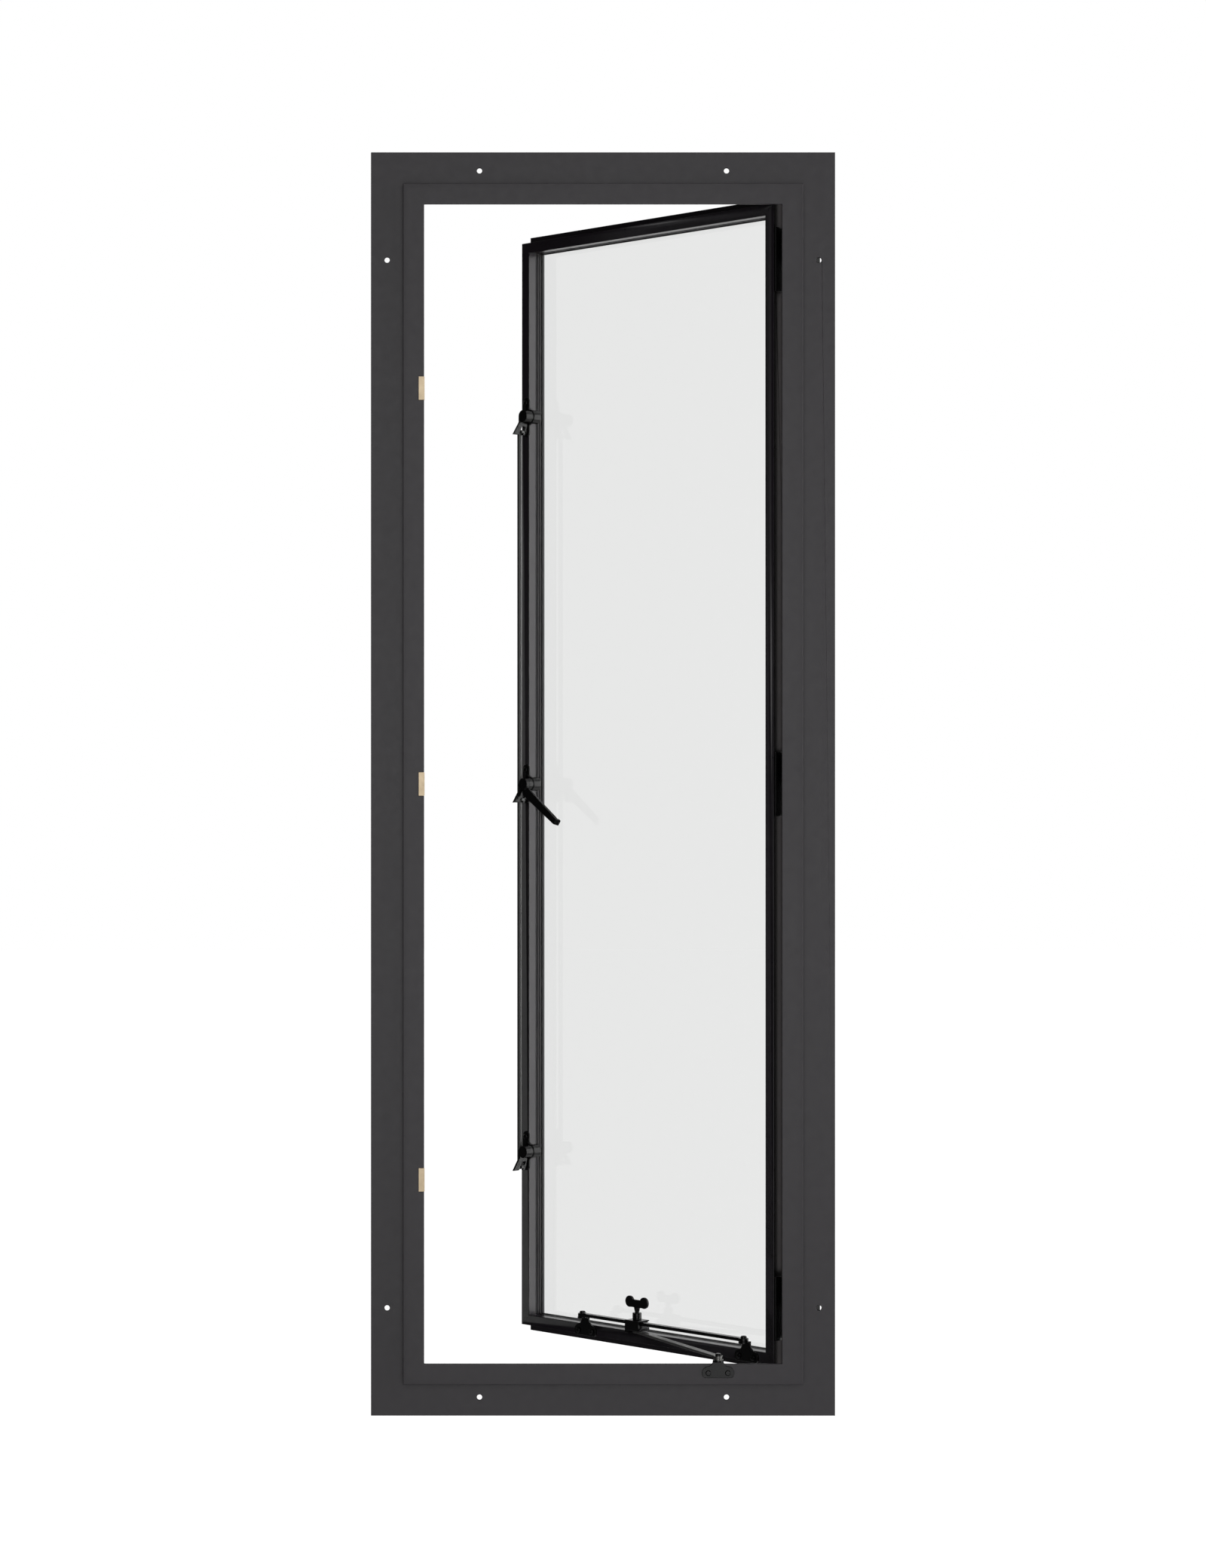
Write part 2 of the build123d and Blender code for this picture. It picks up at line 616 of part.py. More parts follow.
def make_slider(x, bar_y, bar_low, low):
    """A block with a slot for the bar, open outdoors, and a recess below for the arm's eye."""
    middle_y = SASH_FRONT - slider_middle()
    high = low + SLIDER_HEIGHT
    arm_high = low + STAY_ARM_THICK
    block = slab(
        x - SLIDER_LENGTH / 2, x + SLIDER_LENGTH / 2,
        middle_y - SLIDER_DEPTH / 2, middle_y + SLIDER_DEPTH / 2, low, high,
    )
    slot_front = bar_y - STAY_BAR_WIDTH / 2 - SLIDER_CLEARANCE
    block -= slab(
        x - FAR, x + FAR, slot_front, slot_front + FAR,
        bar_low - SLIDER_CLEARANCE, bar_low + STAY_BAR_HEIGHT + SLIDER_CLEARANCE,
    )
    eye_clear = STAY_ARM_EYE_DIAMETER / 2 + 2 * SLIDER_CLEARANCE
    block -= slab(
        x - eye_clear, x + FAR, middle_y - FAR, middle_y + FAR, low - 1, arm_high + SLIDER_CLEARANCE
    )
    block += upright(STAY_PIN_DIAMETER / 2, x, middle_y, low, arm_high + STAY_ARM_THICK)
    pieces["stay_slider"] = swing(block)
    pieces["stay_thumbscrew"] = swing(Pos(x, middle_y, high) * thumbscrew())


def make_arm(slider_x, low):
    """The flat arm from the sill to the slider, the sill bracket and its stud."""
    pivot_y = -FACE_PROUD - STAY_PIVOT_PROUD
    high = low + STAY_ARM_THICK
    end_x, end_y = swung_point(slider_x, SASH_FRONT - slider_middle())
    heading = math.degrees(math.atan2(end_y - pivot_y, end_x - STAY_PIVOT_X))
    arm = slab(0, STAY_ARM_LENGTH, -STAY_ARM_WIDTH / 2, STAY_ARM_WIDTH / 2, low, high)
    for x in (0, STAY_ARM_LENGTH):
        arm += upright(STAY_ARM_EYE_DIAMETER / 2, x, 0, low, high)
    for x in (0, STAY_ARM_LENGTH):
        arm -= upright(STAY_PIN_DIAMETER / 2 + PIN_CLEARANCE, x, 0, low - 1, high + 1)
    pieces["stay_arm"] = at_centre(Pos(STAY_PIVOT_X, pivot_y, 0) * Rot(0, 0, heading) * arm)

    screw_z = -HALF_OPEN_Z - SILL_SCREW_BELOW_OPENING
    shelf_high = low - STAY_SPACER_HEIGHT
    bracket = stay_bracket(shelf_high - screw_z, STAY_PIVOT_PROUD)
    pieces["stay_sill_bracket"] = at_centre(Pos(STAY_PIVOT_X, -FACE_PROUD, screw_z) * bracket)
    stud = upright(STAY_SPACER_DIAMETER / 2, STAY_PIVOT_X, pivot_y, shelf_high, low)
    stud += upright(STAY_PIN_DIAMETER / 2, STAY_PIVOT_X, pivot_y, low, high)
    pieces["stay_pivot_stud"] = at_centre(stud)


def make_stay():
    """Guide bar on the bottom rail, slider, arm and the bracket on the sill."""
    rail_top = -SASH_HALF_Z + SASH_FACE
    bar_y = SASH_FRONT - STAY_BAR_PROUD
    bar_low = rail_top + STAY_BAR_ABOVE_RAIL
    block_low = rail_top + STAY_ARM_ABOVE_RAIL
    slider_x = SASH_HALF_X - slider_inset()
    make_guide_bar(bar_y, bar_low)
    make_slider(slider_x, bar_y, bar_low, block_low)
    make_arm(slider_x, block_low)


def thumbscrew():
    """A collar and tapered stem that carry a flat wing with two round lobes."""
    wing_z = COLLAR_HEIGHT + WING_ABOVE_COLLAR
    half = WING_LOBE_SPACING / 2
    stem_height = WING_ABOVE_COLLAR - WING_WAIST_DROP - WING_WAIST / 2
    collar = Pos(0, 0, COLLAR_HEIGHT / 2) * Cylinder(COLLAR_DIAMETER / 2, COLLAR_HEIGHT)
    stem = Cone(STEM_FOOT_DIAMETER / 2, STEM_TOP_DIAMETER / 2, stem_height)
    wing = Pos(0, -WING_WAIST_DROP) * Rectangle(WING_LOBE_SPACING, WING_WAIST)
    wing += Pos(-half, 0) * Circle(WING_LOBE_DIAMETER / 2)
    wing += Pos(half, 0) * Circle(WING_LOBE_DIAMETER / 2)
    blade = extrude(Plane.XZ * wing, amount=WING_THICK / 2, both=True)
    return collar + Pos(0, 0, COLLAR_HEIGHT + stem_height / 2) * stem + Pos(0, 0, wing_z) * blade


make_frame()
make_strikes()
make_sash()
make_glazing()
make_hinges()
make_locks()
make_handle()
make_stay()

os.makedirs("parts", exist_ok=True)
for node, shape in pieces.items():
    export_step(shape, f"parts/{node}.step")
print(len(pieces), "pieces written")
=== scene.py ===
"""Looks of a steel casement window that stands open on its hinges and friction stay.

Lengths are in metres, in the frame's own axes: X across the window, Y outdoors, Z up.
"""

import json
import math

import bpy
from mathutils import Matrix, Vector

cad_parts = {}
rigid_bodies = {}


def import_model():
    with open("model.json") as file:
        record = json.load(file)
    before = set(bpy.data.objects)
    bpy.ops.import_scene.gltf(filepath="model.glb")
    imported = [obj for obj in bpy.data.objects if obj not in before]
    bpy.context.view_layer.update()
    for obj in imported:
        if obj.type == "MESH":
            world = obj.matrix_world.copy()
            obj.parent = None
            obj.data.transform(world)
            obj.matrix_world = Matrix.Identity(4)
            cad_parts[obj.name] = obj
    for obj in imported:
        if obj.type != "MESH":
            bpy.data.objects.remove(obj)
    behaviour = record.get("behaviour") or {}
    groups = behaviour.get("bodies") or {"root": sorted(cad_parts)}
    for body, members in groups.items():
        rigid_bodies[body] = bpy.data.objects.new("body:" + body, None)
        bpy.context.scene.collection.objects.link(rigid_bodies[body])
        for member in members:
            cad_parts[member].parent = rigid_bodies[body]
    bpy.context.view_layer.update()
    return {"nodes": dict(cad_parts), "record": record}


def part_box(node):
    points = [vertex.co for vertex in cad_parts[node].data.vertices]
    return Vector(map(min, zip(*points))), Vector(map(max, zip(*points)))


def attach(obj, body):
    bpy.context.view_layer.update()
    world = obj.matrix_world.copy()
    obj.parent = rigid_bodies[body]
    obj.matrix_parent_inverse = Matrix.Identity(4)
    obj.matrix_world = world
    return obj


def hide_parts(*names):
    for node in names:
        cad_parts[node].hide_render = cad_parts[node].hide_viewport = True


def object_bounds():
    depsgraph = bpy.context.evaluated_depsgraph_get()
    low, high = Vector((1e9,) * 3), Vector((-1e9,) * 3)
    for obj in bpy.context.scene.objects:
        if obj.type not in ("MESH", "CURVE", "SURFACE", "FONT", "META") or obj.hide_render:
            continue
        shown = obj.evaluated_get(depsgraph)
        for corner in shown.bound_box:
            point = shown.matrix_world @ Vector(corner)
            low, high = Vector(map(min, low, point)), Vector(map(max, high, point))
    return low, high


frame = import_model()
nodes = frame["nodes"]
SLOTS = {part["node"]: part["material_slot"] for part in frame["record"]["subparts"]}

MM = 0.001
BODY = "root"
LEVELS = ("top", "middle", "bottom")
CENTRE_Z = (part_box("frame_head")[1].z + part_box("frame_sill")[0].z) / 2

# The sash, as it hangs: its hinge axis, its opening angle and its indoor face
AXIS_X = (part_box("hinge_pin_middle")[0].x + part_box("hinge_pin_middle")[1].x) / 2
AXIS_Y = (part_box("hinge_pin_middle")[0].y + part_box("hinge_pin_middle")[1].y) / 2
AXIS = Vector((AXIS_X, AXIS_Y, 0))
OPEN_ANGLE = math.radians(45)
SASH_EDGE_FROM_AXIS = 18.0 * MM
SASH_FACE_FROM_AXIS = 27.5 * MM
SASH_WIDTH = 441.0 * MM
SASH_TURN = Matrix.Rotation(-OPEN_ANGLE, 4, "Z")
ACROSS = Vector((1, 0, 0))
OUTDOORS = Vector((0, 1, 0))

# View of the photograph
CAMERA_DISTANCE = 4.124
LENS = 78.5
SENSOR = 36.0
CLIP_END = 100


# Small helpers


def deselect():
    """Leaves nothing selected, so that an operator acts only on the new piece."""
    bpy.ops.object.select_all(action="DESELECT")


def pick(piece):
    """Makes one piece the only selected and active one."""
    deselect()
    piece.select_set(True)
    bpy.context.view_layer.objects.active = piece


def apply_place():
    """Puts the place, turn and size of the selected piece into its mesh."""
    bpy.ops.object.transform_apply(location=True, rotation=True, scale=True)


def apply_all(piece):
    """Applies every modifier of a piece in order."""
    pick(piece)
    for modifier in list(piece.modifiers):
        bpy.ops.object.modifier_apply(modifier=modifier.name)


def keep(piece, name, material):
    """Names a finished piece, gives it its material, and lets it ride on the window."""
    piece.name = name
    piece.data.name = name
    piece.data.materials.clear()
    piece.data.materials.append(material)
    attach(piece, BODY)


def copy_piece(master, matrix):
    """A copy with its own mesh, moved from the origin to its place."""
    pick(master)
    bpy.ops.object.duplicate()
    twin = bpy.context.object
    twin.matrix_world = matrix
    apply_place()
    return twin


def on_sash(u, v, z):
    """Point of the open sash: u from its hinge edge, v behind its face, z from mid-height."""
    closed = Vector((-SASH_EDGE_FROM_AXIS - u, -SASH_FACE_FROM_AXIS + v, z + CENTRE_Z))
    return AXIS + SASH_TURN @ closed


def facing(direction):
    """Rotation that takes +Z to a direction."""
    return Vector(direction).to_track_quat("Z", "Y").to_matrix().to_4x4()


# Rounded arrises


WELD_DISTANCE = 0.002 * MM
SAME_PLANE = math.radians(0.4)
SHARP_FROM = math.radians(30)
SMOOTH_UP_TO = math.radians(38)
ARRIS_STEPS = 3


def joined_copy(names):
    """One mesh made of copies of CAD pieces, selected and active."""
    deselect()
    for name in names:
        nodes[name].select_set(True)
    bpy.context.view_layer.objects.active = nodes[names[0]]
    bpy.ops.object.duplicate()
    bpy.ops.object.parent_clear(type="CLEAR_KEEP_TRANSFORM")
    if len(names) > 1:
        bpy.ops.object.join()
    apply_place()
    return bpy.context.object


def select_faces(piece, test):
    """Selects, in edit mode, the faces whose middle and corners all pass a test."""
    bpy.ops.object.mode_set(mode="EDIT")
    bpy.ops.mesh.select_mode(type="FACE")
    bpy.ops.mesh.select_all(action="DESELECT")
    bpy.ops.object.mode_set(mode="OBJECT")
    for face in piece.data.polygons:
        corners = [piece.data.vertices[corner].co for corner in face.vertices]
        face.select = test(face.center) and all(test(corner) for corner in corners)
    bpy.ops.object.mode_set(mode="EDIT")


def round_arrises(piece, width):
    """Merges the loose triangles of a copy, rounds its sharp edges and keeps its flats flat."""
    bpy.ops.object.mode_set(mode="EDIT")
    bpy.ops.mesh.select_all(action="SELECT")
    bpy.ops.mesh.remove_doubles(threshold=WELD_DISTANCE)
    bpy.ops.mesh.dissolve_limited(angle_limit=SAME_PLANE)
    bpy.ops.object.mode_set(mode="OBJECT")
    arris = piece.modifiers.new("arris", "BEVEL")
    arris.width = width
    arris.segments = ARRIS_STEPS
    arris.limit_method = "ANGLE"
    arris.angle_limit = SHARP_FROM
    arris.use_clamp_overlap = False
    apply_all(piece)
    bpy.ops.object.shade_smooth_by_angle(angle=SMOOTH_UP_TO)
    flats = piece.modifiers.new("flats", "WEIGHTED_NORMAL")
    flats.keep_sharp = True
    apply_all(piece)


MITRE_SLACK = 0.01 * MM


def on_mitre(across, half_width, up, half_height):
    """Whether a point lies on the slanting line from a corner, where two bars meet."""
    return abs(abs(across) - half_width - abs(up) + half_height) < MITRE_SLACK


def on_frame_mitre(point):
    """Whether a point lies where two bars of the frame meet."""
    low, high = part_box("frame_head")
    return on_mitre(point.x, (high.x - low.x) / 2, point.z - CENTRE_Z, high.z - CENTRE_Z)


def on_sash_mitre(point):
    """Whether a point lies where two bars of the sash meet."""
    closed = SASH_TURN.inverted() @ (point - AXIS)
    across = -closed.x - SASH_EDGE_FROM_AXIS - SASH_WIDTH / 2
    half_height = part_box("sash_top_rail")[1].z - CENTRE_Z
    return on_mitre(across, SASH_WIDTH / 2, point.z - CENTRE_Z, half_height)


def finish_piece(names, name, width, material_slot, end_faces=None):
    """A rounded copy that stands for CAD pieces; end faces where bars met are taken out."""
    piece = joined_copy(names)
    if end_faces is not None:
        select_faces(piece, end_faces)
        bpy.ops.mesh.delete(type="FACE")
        bpy.ops.object.mode_set(mode="OBJECT")
    round_arrises(piece, width)
    keep(piece, name, MATERIALS[material_slot])
    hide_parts(*names)


FRAME_BARS = ["frame_head", "frame_sill", "frame_lock_jamb", "frame_hinge_jamb"]
FRAME_ARRIS = 0.7 * MM
SASH_BARS = ["sash_top_rail", "sash_bottom_rail", "sash_lock_stile", "sash_hinge_stile"]
SASH_ARRIS = 0.4 * MM

# Width of the arrises of what is there at each level, and of what is there once
LEVEL_ARRISES = {
    "lock_housing": 0.6 * MM,
    "lock_cam": 0.4 * MM,
    "hinge_frame_leaf": 0.5 * MM,
    "hinge_sash_leaf": 0.5 * MM,
    "hinge_pin": 0.5 * MM,
}
SINGLE_ARRISES = {
    "lock_handle": 0.7 * MM,
    "stay_slider": 0.6 * MM,
    "stay_thumbscrew": 0.8 * MM,
    "stay_bracket_hinge_side": 0.5 * MM,
    "stay_bracket_lock_side": 0.5 * MM,
    "stay_sill_bracket": 0.5 * MM,
    "stay_guide_bar": 0.6 * MM,
    "stay_arm": 0.5 * MM,
}

TIE_BAR_GROWTH = 1.2
TIE_BAR_SHIFT = 0.6 * MM
TIE_BAR_ARRIS = 0.5 * MM


def finish_tie_bar():
    """The tie bar with its paint, thick enough that no light shows between it and the stile."""
    bar = joined_copy(["lock_tie_bar"])
    bpy.ops.object.origin_set(type="ORIGIN_GEOMETRY", center="BOUNDS")
    bar.scale = (TIE_BAR_GROWTH, TIE_BAR_GROWTH, 1)
    bar.location += SASH_TURN @ (OUTDOORS * TIE_BAR_SHIFT)
    apply_place()
    round_arrises(bar, TIE_BAR_ARRIS)
    keep(bar, "lock_tie_bar_finished", MATERIALS["tie_bar_steel"])
    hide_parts("lock_tie_bar")


def finish_cad_pieces():
    """Ground welds join the bars of the frame and of the sash; all the rest gets its arrises."""
    finish_piece(FRAME_BARS, "frame_welded", FRAME_ARRIS, "frame_paint", on_frame_mitre)
    finish_piece(SASH_BARS, "sash_welded", SASH_ARRIS, "sash_paint", on_sash_mitre)
    widths = {
        f"{node}_{level}": width
        for level in LEVELS
        for node, width in LEVEL_ARRISES.items()
    }
    widths.update(SINGLE_ARRISES)
    for name, width in widths.items():
        finish_piece([name], f"{name}_finished", width, SLOTS[name])
    finish_tie_bar()


# Helpers for nodes


def feed(tree, value, target):
    """Links a socket to an input, or sets the input to a number or colour."""
    if isinstance(value, bpy.types.NodeSocket):
        tree.links.new(value, target)
    else:
        target.default_value = value


def add_socket(group, name, side="INPUT", value=None):
    """Adds one named number to a group's inputs or outputs."""
    made = group.interface.new_socket(name=name, in_out=side, socket_type="NodeSocketFloat")
    if value is not None:
        made.default_value = value


def math_node(tree, operation, *values, clamp=False):
    """A Math node whose inputs are sockets or numbers."""
    node = tree.nodes.new("ShaderNodeMath")
    node.operation = operation
    node.use_clamp = clamp
    for place, value in enumerate(values):
        feed(tree, value, node.inputs[place])
    return node.outputs[0]


def dot_node(tree, first, second):
    """Dot product of two vectors."""
    node = tree.nodes.new("ShaderNodeVectorMath")
    node.operation = "DOT_PRODUCT"
    feed(tree, first, node.inputs[0])
    feed(tree, second, node.inputs[1])
    return node.outputs["Value"]


def noise_node(tree, scale, detail, roughness):
    """A Noise Texture on Object coordinates."""
    place = tree.nodes.new("ShaderNodeTexCoord")
    node = tree.nodes.new("ShaderNodeTexNoise")
    node.inputs["Detail"].default_value = detail
    node.inputs["Roughness"].default_value = roughness
    feed(tree, place.outputs["Object"], node.inputs["Vector"])
    feed(tree, scale, node.inputs["Scale"])
    return node.outputs["Fac"]


# Where the colour sockets stand on a Mix node
COLOUR_A = 6
COLOUR_B = 7
COLOUR_RESULT = 2


def mix_colour(tree, factor, first, second):
    """A colour Mix whose inputs are sockets or colours."""
    node = tree.nodes.new("ShaderNodeMix")
    node.data_type = "RGBA"
    feed(tree, factor, node.inputs[0])
    feed(tree, first, node.inputs[COLOUR_A])
    feed(tree, second, node.inputs[COLOUR_B])
    return node.outputs[COLOUR_RESULT]


def switch_shader(tree, factor, first, second):
    """Sends the first shader to the surface, or the second where the factor is one."""
    mix = tree.nodes.new("ShaderNodeMixShader")
    feed(tree, factor, mix.inputs[0])
    feed(tree, first.outputs[0], mix.inputs[1])
    feed(tree, second.outputs[0], mix.inputs[2])
    feed(tree, mix.outputs[0], tree.nodes["Material Output"].inputs["Surface"])


# Shared effects


WEAR_WIDTH = 0.8 * MM
WEAR_BREAKUP = 120.0
WEAR_SAMPLES = 6
WEAR_CONTRAST = 6.0
WEAR_COVER = 1.6


def edge_wear_group():
    """Mask of the arrises where paint rubs thin: the rounded normal leaves the flat one there."""
    tree = bpy.data.node_groups.new("edge_wear", "ShaderNodeTree")
    add_socket(tree, "Width", value=WEAR_WIDTH)
    add_socket(tree, "Breakup", value=WEAR_BREAKUP)
    add_socket(tree, "Mask", "OUTPUT")
    ends = tree.nodes.new("NodeGroupInput")
    out = tree.nodes.new("NodeGroupOutput")
    bevel = tree.nodes.new("ShaderNodeBevel")
    bevel.samples = WEAR_SAMPLES
    feed(tree, ends.outputs["Width"], bevel.inputs["Radius"])
    geometry = tree.nodes.new("ShaderNodeNewGeometry")
    same = dot_node(tree, bevel.outputs["Normal"], geometry.outputs["True Normal"])
    turned = math_node(tree, "SUBTRACT", 1.0, same)
    strong = math_node(tree, "MULTIPLY", turned, WEAR_CONTRAST, clamp=True)
    patch = noise_node(tree, ends.outputs["Breakup"], detail=4.0, roughness=0.6)
    cover = math_node(tree, "MULTIPLY", patch, WEAR_COVER)
    ragged = math_node(tree, "MULTIPLY", strong, cover, clamp=True)
    feed(tree, ragged, out.inputs["Mask"])
    return tree


PEEL_SCALE = 700.0
MOTTLE_SCALE = 14.0
RUB_SCALE = 90.0


def paint_grain_group():
    """Slight mottle, rubbed patches and orange peel of sprayed paint on steel."""
    tree = bpy.data.node_groups.new("paint_grain", "ShaderNodeTree")
    add_socket(tree, "Peel Scale", value=PEEL_SCALE)
    add_socket(tree, "Mottle Scale", value=MOTTLE_SCALE)
    for name in ("Mottle", "Rub", "Peel"):
        add_socket(tree, name, "OUTPUT")
    ends = tree.nodes.new("NodeGroupInput")
    out = tree.nodes.new("NodeGroupOutput")
    mottle = noise_node(tree, ends.outputs["Mottle Scale"], detail=5.0, roughness=0.6)
    rub = noise_node(tree, RUB_SCALE, detail=4.0, roughness=0.65)
    peel = noise_node(tree, ends.outputs["Peel Scale"], detail=2.0, roughness=0.4)
    feed(tree, mottle, out.inputs["Mottle"])
    feed(tree, rub, out.inputs["Rub"])
    feed(tree, peel, out.inputs["Peel"])
    return tree


# Reach of the painted shade on the sash's hinge side: across from its edge, and behind its face
PAINTED_SHADE_REACH = 8.0 * MM
PAINTED_SHADE_FROM_FACE = 1.0 * MM


def hinge_painted_shade_group():
    """Mask of the sash's hinge side behind its face, turned away from the light, for painted
    shade.
    """
    tree = bpy.data.node_groups.new("hinge_painted_shade", "ShaderNodeTree")
    add_socket(tree, "Mask", "OUTPUT")
    out = tree.nodes.new("NodeGroupOutput")
    place = tree.nodes.new("ShaderNodeTexCoord")
    masks = []
    for direction, limit in (
        (ACROSS, -SASH_EDGE_FROM_AXIS - PAINTED_SHADE_REACH),
        (OUTDOORS, -SASH_FACE_FROM_AXIS + PAINTED_SHADE_FROM_FACE),
    ):
        turned = SASH_TURN @ direction
        along = dot_node(tree, place.outputs["Object"], turned)
        masks.append(math_node(tree, "GREATER_THAN", along, AXIS.dot(turned) + limit))
    feed(tree, math_node(tree, "MULTIPLY", *masks), out.inputs["Mask"])
    return tree


EDGE_WEAR = edge_wear_group()
HINGE_PAINTED_SHADE = hinge_painted_shade_group()
PAINT_GRAIN = paint_grain_group()


# Materials


def new_material(name):
    """An empty material with a Principled shader and its output."""
    material = bpy.data.materials.new(name)
    material.use_nodes = True
    tree = material.node_tree
    return material, tree, tree.nodes["Principled BSDF"]


def group_node(tree, group, **values):
    """Places a node group with its own values."""
    node = tree.nodes.new("ShaderNodeGroup")
    node.node_tree = group
    for name, value in values.items():
        node.inputs[name.replace("_", " ")].default_value = value
    return node


def opaque(colour, gain=1.0):
    """A colour with full alpha, made lighter or darker by a gain."""
    return tuple(channel * gain for channel in colour) + (1,)


def add_surface(tree, grain, roughness, spread, height, strength):
    """Roughness that varies in rubbed patches, and the fine relief of a coat or of scratches."""
    shader = tree.nodes["Principled BSDF"]
    span = math_node(tree, "MULTIPLY", grain.outputs["Rub"], spread)
    patchy = math_node(tree, "ADD", span, roughness - spread / 2)
    feed(tree, patchy, shader.inputs["Roughness"])
    relief = tree.nodes.new("ShaderNodeBump")
    relief.inputs["Distance"].default_value = height
    relief.inputs["Strength"].default_value = strength
    feed(tree, grain.outputs["Peel"], relief.inputs["Height"])
    feed(tree, relief.outputs["Normal"], shader.inputs["Normal"])


MOTTLE_LIGHT = 1.22
MOTTLE_DARK = 0.82
PAINT_SPREAD = 0.12
PAINT_RELIEF = 0.6


def painted_steel(
    name, paint, worn, wear=0.3, roughness=0.48, gloss=0.5, height=0.05 * MM, width=0.6 * MM
):
    """Sprayed dark paint over steel, rubbed towards the worn colour along its arrises."""
    material, tree, shader = new_material(name)
    grain = group_node(tree, PAINT_GRAIN)
    edges = group_node(tree, EDGE_WEAR, Width=width)
    dark = opaque(paint, MOTTLE_DARK)
    light = opaque(paint, MOTTLE_LIGHT)
    body = mix_colour(tree, grain.outputs["Mottle"], dark, light)
    amount = math_node(tree, "MULTIPLY", edges.outputs["Mask"], wear)
    colour = mix_colour(tree, amount, body, opaque(worn))
    feed(tree, colour, shader.inputs["Base Color"])
    shader.inputs["Specular IOR Level"].default_value = gloss
    add_surface(tree, grain, roughness, PAINT_SPREAD, height, PAINT_RELIEF)
    return material


TARNISH_SCALE = 60.0
TARNISH_GAIN = 1.1
SCRATCH_SCALE = 300.0
SCRATCH_HEIGHT = 0.08 * MM
BRIGHT_RUB = 1.3
METAL_SPREAD = 0.2
METAL_RELIEF = 0.5


def bare_metal(name, tone, tarnish, roughness, wear):
    """Bare metal with fine scratches and darker tarnish in patches."""
    material, tree, shader = new_material(name)
    grain = group_node(tree, PAINT_GRAIN, Peel_Scale=SCRATCH_SCALE, Mottle_Scale=TARNISH_SCALE)
    edges = group_node(tree, EDGE_WEAR, Width=WEAR_WIDTH)
    patch = math_node(tree, "MULTIPLY", grain.outputs["Mottle"], TARNISH_GAIN, clamp=True)
    body = mix_colour(tree, patch, opaque(tarnish), opaque(tone))
    amount = math_node(tree, "MULTIPLY", edges.outputs["Mask"], wear)
    colour = mix_colour(tree, amount, body, opaque(tone, BRIGHT_RUB))
    feed(tree, colour, shader.inputs["Base Color"])
    shader.inputs["Metallic"].default_value = 1.0
    add_surface(tree, grain, roughness, METAL_SPREAD, SCRATCH_HEIGHT, METAL_RELIEF)
    return material


GLASS_TINT = (0.84, 0.845, 0.84, 1)
GLASS_SHADOW_TINT = (0.86, 0.87, 0.86, 1)
GLASS_IOR = 1.5


def clear_glass():
    """Plain float glass with a faint grey tint, which lets light through for shadows."""
    material, tree, shader = new_material("float_glass")
    shader.inputs["Base Color"].default_value = GLASS_TINT
    shader.inputs["Roughness"].default_value = 0.0
    shader.inputs["IOR"].default_value = GLASS_IOR
    shader.inputs["Transmission Weight"].default_value = 1.0
    through = tree.nodes.new("ShaderNodeBsdfTransparent")
    through.inputs["Color"].default_value = GLASS_SHADOW_TINT
    rays = tree.nodes.new("ShaderNodeLightPath")
    switch_shader(tree, rays.outputs["Is Shadow Ray"], shader, through)
    return material


# Near-black colour of the painted shade on the sash's hinge side
PAINTED_SHADE_COLOUR = (0.012, 0.011, 0.011, 1)


def add_hinge_painted_shade(material):
    """Paints shade over a paint on the hinge side of the sash, which turns away from the light.
    """
    tree = material.node_tree
    shader = tree.nodes["Principled BSDF"]
    mask = group_node(tree, HINGE_PAINTED_SHADE).outputs["Mask"]
    clean = shader.inputs["Base Color"].links[0].from_socket
    feed(tree, mix_colour(tree, mask, clean, PAINTED_SHADE_COLOUR), shader.inputs["Base Color"])
    # Metal under the near-black colour also dims the sheen there: painted shade, not a real metal
    feed(tree, mask, shader.inputs["Metallic"])


PAINT = (0.0082, 0.0056, 0.0088)
BEAD_PAINT = (0.0064, 0.0054, 0.0066)
RUBBED_PAINT = (0.03, 0.03, 0.031)
HARDWARE_BLACK = (0.0025, 0.0024, 0.0025)
RUBBED_BLACK = (0.05, 0.049, 0.047)
STEEL = (0.16, 0.16, 0.155)
DULL_STEEL = (0.06, 0.058, 0.055)
OXIDE = (0.02, 0.02, 0.0195)
RUBBED_OXIDE = (0.08, 0.078, 0.075)
BRASS = (0.44, 0.36, 0.25)
DULL_BRASS = (0.31, 0.245, 0.165)
TAPE = (0.01, 0.01, 0.01)
RUBBED_TAPE = (0.02, 0.02, 0.02)
MATERIALS = {
    "frame_paint": painted_steel("frame_paint", PAINT, RUBBED_PAINT),
    "sash_paint": painted_steel("sash_paint", PAINT, RUBBED_PAINT, roughness=0.3, gloss=0.35),
    "bead_paint": painted_steel("bead_paint", BEAD_PAINT, RUBBED_PAINT, gloss=0.25),
    "hardware_paint": painted_steel(
        "hardware_paint", HARDWARE_BLACK, RUBBED_BLACK, wear=0.2, roughness=0.2, gloss=0.2,
        height=0.09 * MM, width=0.8 * MM,
    ),
    "worn_steel": bare_metal("worn_steel", STEEL, DULL_STEEL, roughness=0.34, wear=0.8),
    "tie_bar_steel": painted_steel("tie_bar_steel", OXIDE, RUBBED_OXIDE, roughness=0.4),
    "strike_brass": bare_metal("strike_brass", BRASS, DULL_BRASS, roughness=0.42, wear=0.3),
    "glass": clear_glass(),
    "glazing_tape": painted_steel("glazing_tape", TAPE, RUBBED_TAPE, wear=0.1, roughness=0.7),
}
# Painted shade on the hinge side of the sash, which the open sash turns away from the light
add_hinge_painted_shade(MATERIALS["sash_paint"])


def paint_cad_nodes():
    """Gives every solid of the frame its material, by the slot that the record names."""
    for name, material_slot in SLOTS.items():
        piece = nodes[name]
        piece.data.materials.clear()
        piece.data.materials.append(MATERIALS[material_slot])


# Fasteners


